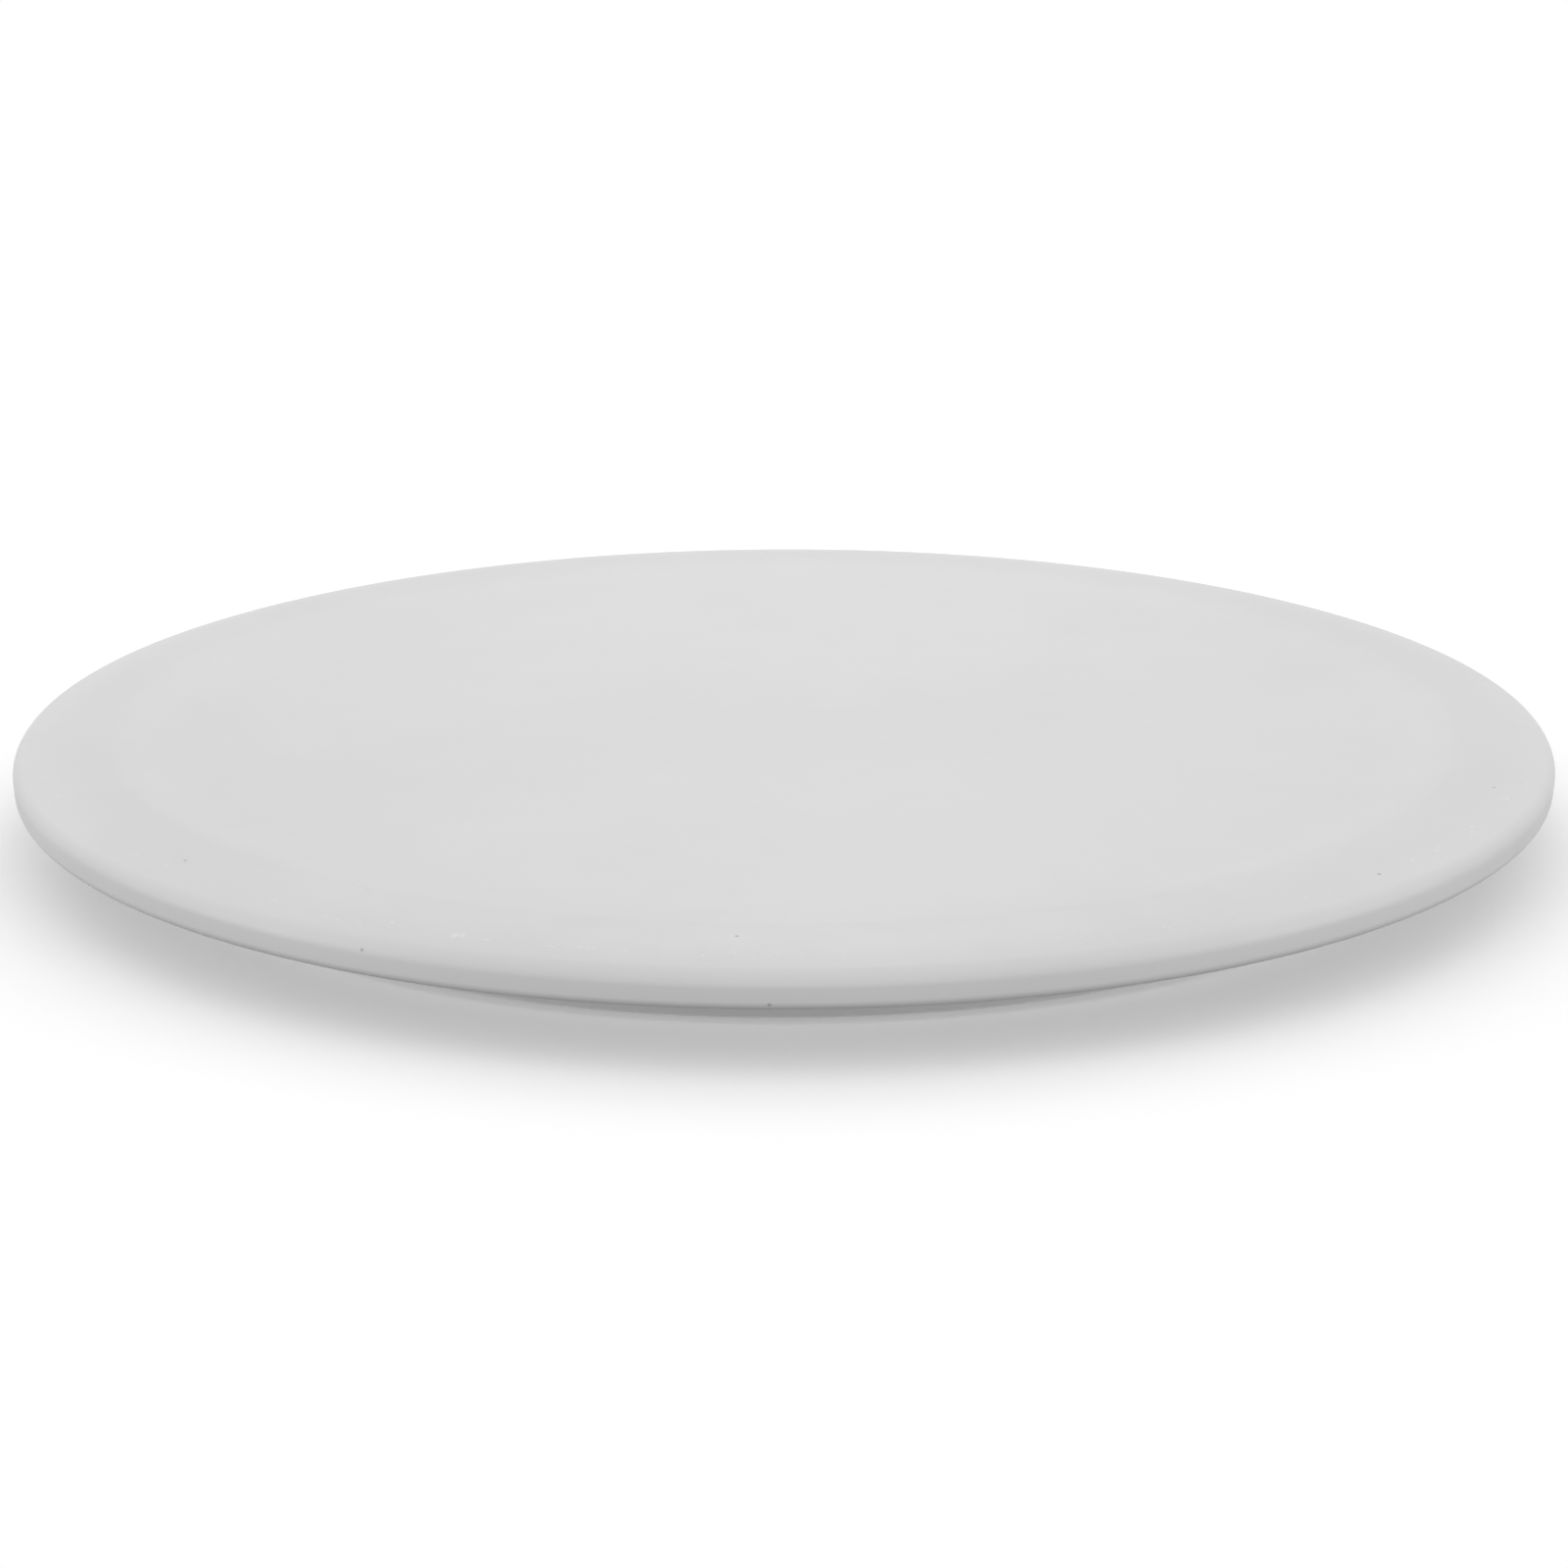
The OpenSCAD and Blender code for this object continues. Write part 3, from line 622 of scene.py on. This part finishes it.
class TURNTABLE_OT_finishes(bpy.types.Operator):
    """Give every part its finish"""
    bl_idname = "turntable.finishes"
    bl_label = "Finishes"

    def execute(self, context):
        colours = context.scene.turntable_colours
        platter_white = moulded_shell(
            "platter_white", colours.shell[:], wear=context.scene.turntable_wear)
        # The base's white is painted lighter, as painted fill light on its wall.
        base_white = moulded_shell("base_white", colours.base[:])
        zinc = plated("zinc_plate", colours.zinc[:])
        steel = polished("polished_steel", colours.chrome[:])
        parts = {
            "platter_shell": platter_white,
            "base_shell": base_white,
            "hub_cap": base_white,
            "platter_race": zinc,
            "base_race": zinc,
            "platter_race_screws": zinc,
            "base_race_screws": zinc,
            "foot_screws": zinc,
            "foot_washers": zinc,
            "pivot_bolt": plated("bolt_zinc", colours.zinc[:], 0.26),
            "thrust_washer": zinc,
            "disc_spring": plated("black_spring_steel", colours.spring[:], 0.34),
            "pivot_insert": turned_brass("turned_brass", colours.brass[:]),
            "hub_bush": plain_moulded("acetal", colours.acetal[:], 0.3),
            "ball_cage": plain_moulded("nylon", colours.nylon[:]),
            "bearing_balls": steel,
        }
        feet = rubber("foot_rubber", colours.rubber[:])
        parts.update({foot: feet for foot in FEET})
        missing = set(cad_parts) - set(parts)
        if missing:
            raise RuntimeError(f"no finish for {sorted(missing)}")
        for node, material in parts.items():
            dress(node, material)
        return {"FINISHED"}


class TURNTABLE_OT_platter(bpy.types.Operator):
    """Turn the platter's smooth outside"""
    bl_idname = "turntable.platter"
    bl_label = "Platter"

    def execute(self, context):
        s = context.scene.turntable_sizes
        rim_z = PLATTER_BOX[1].z
        lip_z = rim_z - s.edge_height
        dish_z = rim_z - s.dish_depth
        rim_in = s.platter_radius - s.rim_width
        cove_slope = 2 * math.atan(s.dish_depth / s.cove_width)
        cove_radius = s.cove_width / math.sin(cove_slope) - s.rim_lip_radius
        corner = (s.platter_radius - s.corner_radius,
                  rim_z - s.crown_radius
                  + (s.crown_radius - s.corner_radius) * math.cos(s.crown_slope))
        crown = (corner[0] - (s.crown_radius - s.corner_radius) * math.sin(s.crown_slope),
                 rim_z - s.crown_radius)
        skirt_top = (corner[0] + s.corner_radius * math.cos(s.skirt_slope),
                     corner[1] - s.corner_radius * math.sin(s.skirt_slope))
        lip_edge = skirt_top[0] - (skirt_top[1] - lip_z) * math.tan(s.skirt_slope)
        lip = (lip_edge - s.lip_radius * math.tan(math.pi / 4 - s.skirt_slope / 2),
               lip_z + s.lip_radius)

        mesh = bmesh.new()
        pen = Pen(mesh, 0, dish_z)
        for share in DISH_RINGS:
            pen.line(share * (rim_in - s.cove_width), dish_z)
        pen.arc((rim_in - s.cove_width, dish_z + cove_radius), cove_slope, steps=10)
        pen.arc((rim_in, rim_z - s.rim_lip_radius), -cove_slope, steps=6)
        pen.line(crown[0], rim_z)
        pen.arc(crown, -s.crown_slope, steps=12)
        pen.arc(corner, s.crown_slope - math.pi / 2 - s.skirt_slope, steps=18)
        pen.line(lip[0] + s.lip_radius * math.cos(s.skirt_slope),
                 lip[1] - s.lip_radius * math.sin(s.skirt_slope))
        # The round stops at the skirt's inner wall
        wall_in = s.platter_radius - s.skirt_wall
        pen.arc(lip, s.skirt_slope - math.acos((wall_in - lip[0]) / s.lip_radius), steps=10)
        turn(mesh, s.turning)
        point_outwards(mesh)
        skin(mesh, s)
        make_piece("platter_outside", mesh, bpy.data.materials["platter_white"],
                   "platter")
        return {"FINISHED"}


class TURNTABLE_OT_base(bpy.types.Operator):
    """Turn the base's smooth outside"""
    bl_idname = "turntable.base"
    bl_label = "Base"

    def execute(self, context):
        s = context.scene.turntable_sizes
        foot_z = BASE_BOX[0].z
        top_radius = s.base_radius - s.base_draft
        corner = (top_radius - s.base_corner, s.base_top - s.base_corner)
        mesh = bmesh.new()
        pen = Pen(mesh, s.base_apron, s.base_top)
        pen.line(corner[0] - s.base_top_ring, s.base_top)
        pen.line(corner[0], s.base_top)
        pen.arc(corner, -math.pi / 2, steps=12)
        pen.line(s.base_radius - s.chamfer_lean, foot_z + s.base_chamfer)
        pen.line(s.base_radius - s.base_chamfer, foot_z)
        pen.line(s.base_radius - s.base_sole, foot_z)
        turn(mesh, s.turning)
        point_outwards(mesh)
        skin(mesh, s)
        make_piece("base_outside", mesh, bpy.data.materials["base_white"], "base")
        return {"FINISHED"}


class TURNTABLE_OT_feet(bpy.types.Operator):
    """Mould the rubber feet"""
    bl_idname = "turntable.feet"
    bl_label = "Feet"

    def execute(self, context):
        s = context.scene.turntable_sizes
        for name in FEET:
            low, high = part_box(name)
            centre = (low + high) / 2
            mesh = bmesh.new()
            draw_foot(mesh, s, radius=(high.x - low.x) / 2, height=high.z - low.z)
            turn(mesh, s.foot_turning)
            point_outwards(mesh)
            bmesh.ops.translate(mesh, vec=(centre.x, centre.y, low.z), verts=mesh.verts)
            piece = make_piece("rubber_" + name, mesh, bpy.data.materials["foot_rubber"],
                               "base")
            piece.data.set_sharp_from_angle(angle=s.sharp_angle)
            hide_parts(name)
        return {"FINISHED"}


def draw_foot(mesh, s, radius, height):
    """Draws a foot's section: its cone, the grip groove under it, and the recess and hole
    for its screw"""
    tip = radius - s.foot_taper
    groove = tip - s.foot_edge - s.foot_land
    pen = Pen(mesh, s.foot_hole, height)
    pen.line(radius - s.foot_top_edge, height)
    pen.arc((radius - s.foot_top_edge, height - s.foot_top_edge), -math.pi / 2, steps=4)
    pen.line(tip, s.foot_edge)
    pen.arc((tip - s.foot_edge, s.foot_edge), -math.pi / 2, steps=8)
    pen.line(groove, 0)
    pen.line(groove - s.groove_lean, s.groove_depth)
    pen.line(groove - s.groove_width + s.groove_lean, s.groove_depth)
    pen.line(groove - s.groove_width, 0)
    pen.line(s.recess_radius + s.recess_edge, 0)
    pen.arc((s.recess_radius + s.recess_edge, s.recess_edge), -math.pi / 2, steps=4)
    pen.line(s.recess_radius, s.recess_depth)
    pen.line(s.foot_hole, s.recess_depth)
    pen.line(s.foot_hole, height)


class TURNTABLE_OT_balls(bpy.types.Operator):
    """Make the polished balls of the bearing"""
    bl_idname = "turntable.balls"
    bl_label = "Bearing balls"

    def execute(self, context):
        s = context.scene.turntable_sizes
        circle = BALLS_BOX[1].x - s.ball_radius
        height = (BALLS_BOX[0].z + BALLS_BOX[1].z) / 2
        mesh = bmesh.new()
        for number in range(s.ball_count):
            turned = Matrix.Rotation(2 * math.pi * number / s.ball_count, 4, "Z")
            bmesh.ops.create_icosphere(
                mesh, subdivisions=4, radius=s.ball_radius,
                matrix=turned @ Matrix.Translation((circle, 0, height)))
        piece = make_piece("polished_balls", mesh, bpy.data.materials["polished_steel"],
                           "cage")
        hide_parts("bearing_balls")
        return {"FINISHED"}


class TURNTABLE_OT_stage(bpy.types.Operator):
    """Lay the floor, hang the lights and place the camera"""
    bl_idname = "turntable.stage"
    bl_label = "Stage"

    def execute(self, context):
        scene = context.scene
        s = scene.turntable_stage
        lay_floor(scene.turntable_colours.floor[:])
        for name, place, size, power in LAMPS:
            soft_light(name, place, size, getattr(s, power))
        light_room(scene, s.room_level)

        camera = bpy.data.objects.new("camera", bpy.data.cameras.new("camera"))
        scene.collection.objects.link(camera)
        camera.data.sensor_width = SENSOR_WIDTH
        camera.data.lens = s.camera_lens
        aim = Vector((0, -math.cos(s.camera_lift), math.sin(s.camera_lift)))
        stand = Vector((0, 0, PLATTER_BOX[1].z)) + s.camera_distance * aim
        tilt = math.pi / 2 - s.camera_lift - s.camera_drop
        camera.matrix_world = (Matrix.Translation(stand) @ Matrix.Rotation(tilt, 4, "X")
                               @ Matrix.Rotation(s.camera_roll, 4, "Z"))
        scene.camera = camera
        scene.view_settings.view_transform = "Standard"
        return {"FINISHED"}


def lay_floor(colour):
    """A wide flat floor at the height on which the feet stand"""
    mesh = bmesh.new()
    bmesh.ops.create_grid(mesh, x_segments=2, y_segments=2, size=FLOOR_REACH)
    data = bpy.data.meshes.new("floor")
    mesh.to_mesh(data)
    mesh.free()
    data.materials.append(floor_paint(colour))
    floor = bpy.data.objects.new("floor", data)
    bpy.context.scene.collection.objects.link(floor)


def soft_light(name, place, size, power):
    """A broad lamp aimed at the middle of the turntable"""
    lamp = bpy.data.lights.new(name, "AREA")
    lamp.shape = "ELLIPSE"
    lamp.size, lamp.size_y = size
    lamp.energy = power
    light = bpy.data.objects.new(name, lamp)
    bpy.context.scene.collection.objects.link(light)
    light.location = place
    light.rotation_euler = (-light.location).to_track_quat("-Z", "Y").to_euler()


def floor_paint(colour):
    """Pale floor that reads white to the camera and in gloss, and still takes a shadow. It
    fades out into the backdrop further off."""
    finish = Finish("pale_floor")
    seen = finish.seen()
    return finish.close(
        Base_Color=finish.blend(seen, colour, FLOOR_SEEN), Roughness=0.9,
        Specular_IOR_Level=0.0, Alpha=finish.spread(finish.radius(), *FLOOR_FADE, 1, 0),
        Emission_Strength=1.0, Emission_Color=finish.blend(seen, (0, 0, 0), FLOOR_GLOW))


def light_room(scene, level):
    """Even white light from all round, behind which the background reads white."""
    scene.world = bpy.data.worlds.new("room")
    nodes = Nodes(scene.world)
    white = (1, 1, 1, 1)
    air = nodes.add("ShaderNodeBackground", inputs={"Color": white, "Strength": level})
    backdrop = nodes.add("ShaderNodeBackground", inputs={"Color": white, "Strength": 1.0})
    mix = nodes.add("ShaderNodeMixShader", inputs={0: nodes.seen(), 1: air, 2: backdrop})
    nodes.add("ShaderNodeOutputWorld", inputs={"Surface": mix})


class TURNTABLE_PT_panel(bpy.types.Panel):
    """Buttons that make the turntable's pieces"""
    bl_idname = "TURNTABLE_PT_panel"
    bl_label = "Turntable"
    bl_space_type = "VIEW_3D"
    bl_region_type = "UI"
    bl_category = "Turntable"

    def draw(self, context):
        for operator in OPERATORS:
            self.layout.operator(operator.bl_idname)
        for group_name in GROUPS:
            group = getattr(context.scene, group_name)
            box = self.layout.box()
            for name in group.bl_rna.properties.keys():
                if name not in ("rna_type", "name"):
                    box.prop(group, name)


OPERATORS = (TURNTABLE_OT_finishes, TURNTABLE_OT_platter, TURNTABLE_OT_base,
             TURNTABLE_OT_feet, TURNTABLE_OT_balls, TURNTABLE_OT_stage)
GROUPS = {"turntable_sizes": TurntableSizes, "turntable_colours": TurntableColours,
          "turntable_wear": TurntableWear, "turntable_stage": TurntableStage}
CLASSES = (*GROUPS.values(), *OPERATORS, TURNTABLE_PT_panel)


def register():
    for cls in CLASSES:
        bpy.utils.register_class(cls)
    for name, group in GROUPS.items():
        setattr(bpy.types.Scene, name, bpy.props.PointerProperty(type=group))


def unregister():
    for name in GROUPS:
        delattr(bpy.types.Scene, name)
    for cls in reversed(CLASSES):
        bpy.utils.unregister_class(cls)


def main():
    register()
    bpy.ops.turntable.finishes()
    bpy.ops.turntable.platter()
    bpy.ops.turntable.base()
    bpy.ops.turntable.feet()
    bpy.ops.turntable.balls()
    bpy.ops.turntable.stage()


if __name__ == "__main__":
    main()
